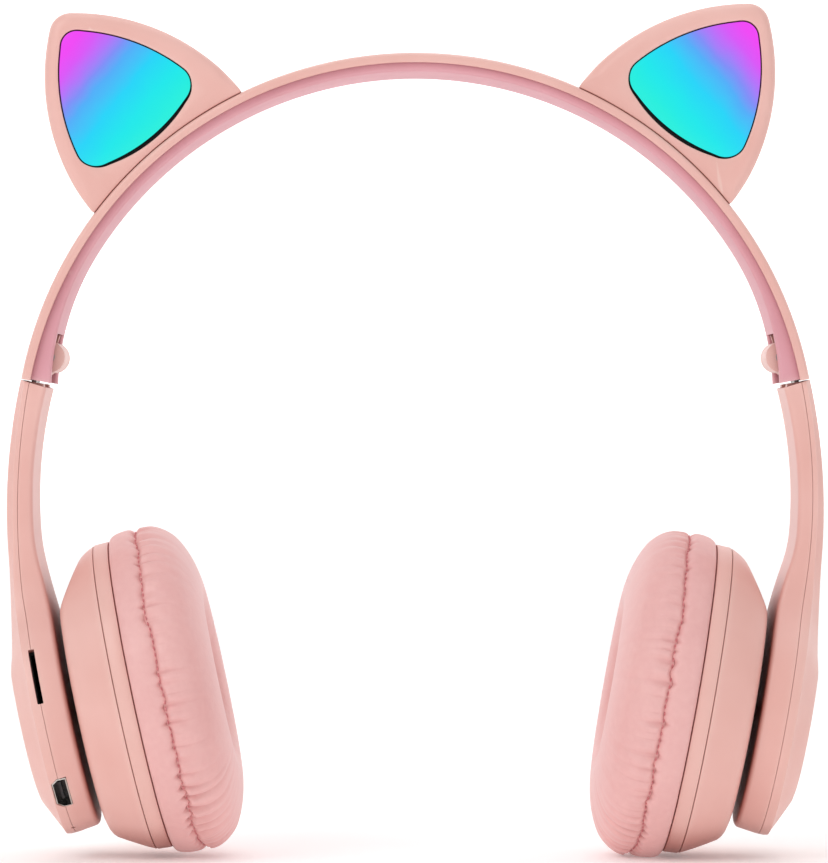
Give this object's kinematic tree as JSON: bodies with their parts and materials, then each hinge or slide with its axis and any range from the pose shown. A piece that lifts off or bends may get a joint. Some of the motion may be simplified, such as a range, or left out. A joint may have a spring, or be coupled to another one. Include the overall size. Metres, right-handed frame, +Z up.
{
  "type": "wireless headphone",
  "caption": "Folding over-head wireless headphone with lit cat-ear housings on the band, sliding arms, self-aligning padded cups and push keys.",
  "frame": {"origin": "middle of the headband liner's underside, at its highest point, where the band rests on the head", "axes": "+Z up, -Y the side that the ear lights face, -X the wearer's right, with the ports"},
  "size_m": [0.1746, 0.0704, 0.1822],
  "materials": {
    "shell_plastic": "satin",
    "liner_plastic": "matte",
    "cushion_leather": "satin",
    "light_panel": "gloss",
    "steel": "satin",
    "nickel": "gloss",
    "board": "satin",
    "black_plastic": "satin",
    "wire": "matte",
    "speaker_cloth": "matte",
    "driver_body": "satin",
    "battery_wrap": "satin"
  },
  "bodies": {
    "headband": {"headband_shell": "shell_plastic", "headband_liner": "liner_plastic", "spring_strip": "steel", "led_wire": "wire", "ear_screws": "steel", "hinge_pins": "steel", "ear_housing_r": "shell_plastic", "ear_back_cover_r": "shell_plastic", "ear_light_panel_r": "light_panel", "ear_led_board_r": "board", "hinge_bracket_r": "shell_plastic", "ear_housing_l": "shell_plastic", "ear_back_cover_l": "shell_plastic", "ear_light_panel_l": "light_panel", "ear_led_board_l": "board", "hinge_bracket_l": "shell_plastic"},
    "slider_r": {"slider_knuckle_r": "shell_plastic", "slider_strip_r": "steel", "slider_rivets_r": "steel"},
    "arm_r": {"arm_outer_cover_r": "shell_plastic", "arm_inner_cover_r": "shell_plastic", "plate_screws_r": "steel", "ball_stud_r": "steel", "main_board": "board", "usb_socket": "nickel", "card_socket": "black_plastic", "aux_socket": "black_plastic", "microphone": "nickel", "button_switches": "black_plastic"},
    "pivot_r": {"pivot_ring_r": "black_plastic"},
    "cup_r": {"cup_housing_r": "shell_plastic", "pivot_retainer_r": "black_plastic", "cup_front_ring_r": "shell_plastic", "driver_r": "driver_body", "speaker_cloth_r": "speaker_cloth", "cup_screws_r": "steel", "ear_cushion_r": "cushion_leather"},
    "slider_l": {"slider_knuckle_l": "shell_plastic", "slider_strip_l": "steel", "slider_rivets_l": "steel"},
    "arm_l": {"arm_outer_cover_l": "shell_plastic", "arm_inner_cover_l": "shell_plastic", "plate_screws_l": "steel", "ball_stud_l": "steel", "battery": "battery_wrap"},
    "pivot_l": {"pivot_ring_l": "black_plastic"},
    "cup_l": {"cup_housing_l": "shell_plastic", "pivot_retainer_l": "black_plastic", "cup_front_ring_l": "shell_plastic", "driver_l": "driver_body", "speaker_cloth_l": "speaker_cloth", "cup_screws_l": "steel", "ear_cushion_l": "cushion_leather"},
    "key_back": {"button_back": "shell_plastic"},
    "key_play": {"button_play": "shell_plastic"},
    "key_forward": {"button_forward": "shell_plastic"},
    "key_mode": {"button_mode": "shell_plastic"}
  },
  "joints": [
    {"name": "fold_r", "type": "hinge", "parent": "headband", "child": "slider_r", "pos_m": [-0.0781, 0, -0.0607], "axis": [0, 1, 0], "range_deg": [-90, 0]},
    {"name": "extend_r", "type": "slide", "parent": "slider_r", "child": "arm_r", "axis": [-0.0698, 0, -0.9976], "range_m": [0, 0.02]},
    {"name": "tilt_r", "type": "hinge", "parent": "arm_r", "child": "pivot_r", "pos_m": [-0.06868, 0, -0.13508], "axis": [0, 1, 0], "range_deg": [-2.5, 2.5]},
    {"name": "swivel_r", "type": "hinge", "parent": "pivot_r", "child": "cup_r", "pos_m": [-0.06868, 0, -0.13508], "axis": [-0.2079, 0, 0.9781], "range_deg": [-1.5, 1.5]},
    {"name": "fold_l", "type": "hinge", "parent": "headband", "child": "slider_l", "pos_m": [0.0781, 0, -0.0607], "axis": [0, 1, 0], "range_deg": [0, 90]},
    {"name": "extend_l", "type": "slide", "parent": "slider_l", "child": "arm_l", "axis": [0.0698, 0, -0.9976], "range_m": [0, 0.02]},
    {"name": "tilt_l", "type": "hinge", "parent": "arm_l", "child": "pivot_l", "pos_m": [0.06864, 0, -0.13555], "axis": [0, 1, 0], "range_deg": [-2.5, 2.5]},
    {"name": "swivel_l", "type": "hinge", "parent": "pivot_l", "child": "cup_l", "pos_m": [0.06864, 0, -0.13555], "axis": [0.1754, 0, 0.9845], "range_deg": [-1.5, 1.5]},
    {"name": "press_back", "type": "slide", "parent": "arm_r", "child": "key_back", "axis": [0.1336, -0.766, -0.6287], "range_m": [0, 0.0004], "stiffness_N_per_m": 1500, "springref_m": -0.0004},
    {"name": "press_play", "type": "slide", "parent": "arm_r", "child": "key_play", "axis": [0.0779, -0.9272, -0.3664], "range_m": [0, 0.0004], "stiffness_N_per_m": 1500, "springref_m": -0.0004},
    {"name": "press_forward", "type": "slide", "parent": "arm_r", "child": "key_forward", "axis": [0.0145, -0.9976, -0.0682], "range_m": [0, 0.0004], "stiffness_N_per_m": 1500, "springref_m": -0.0004},
    {"name": "press_mode", "type": "slide", "parent": "arm_r", "child": "key_mode", "axis": [-0.0503, -0.9703, 0.2366], "range_m": [0, 0.0004], "stiffness_N_per_m": 1500, "springref_m": -0.0004}
  ]
}
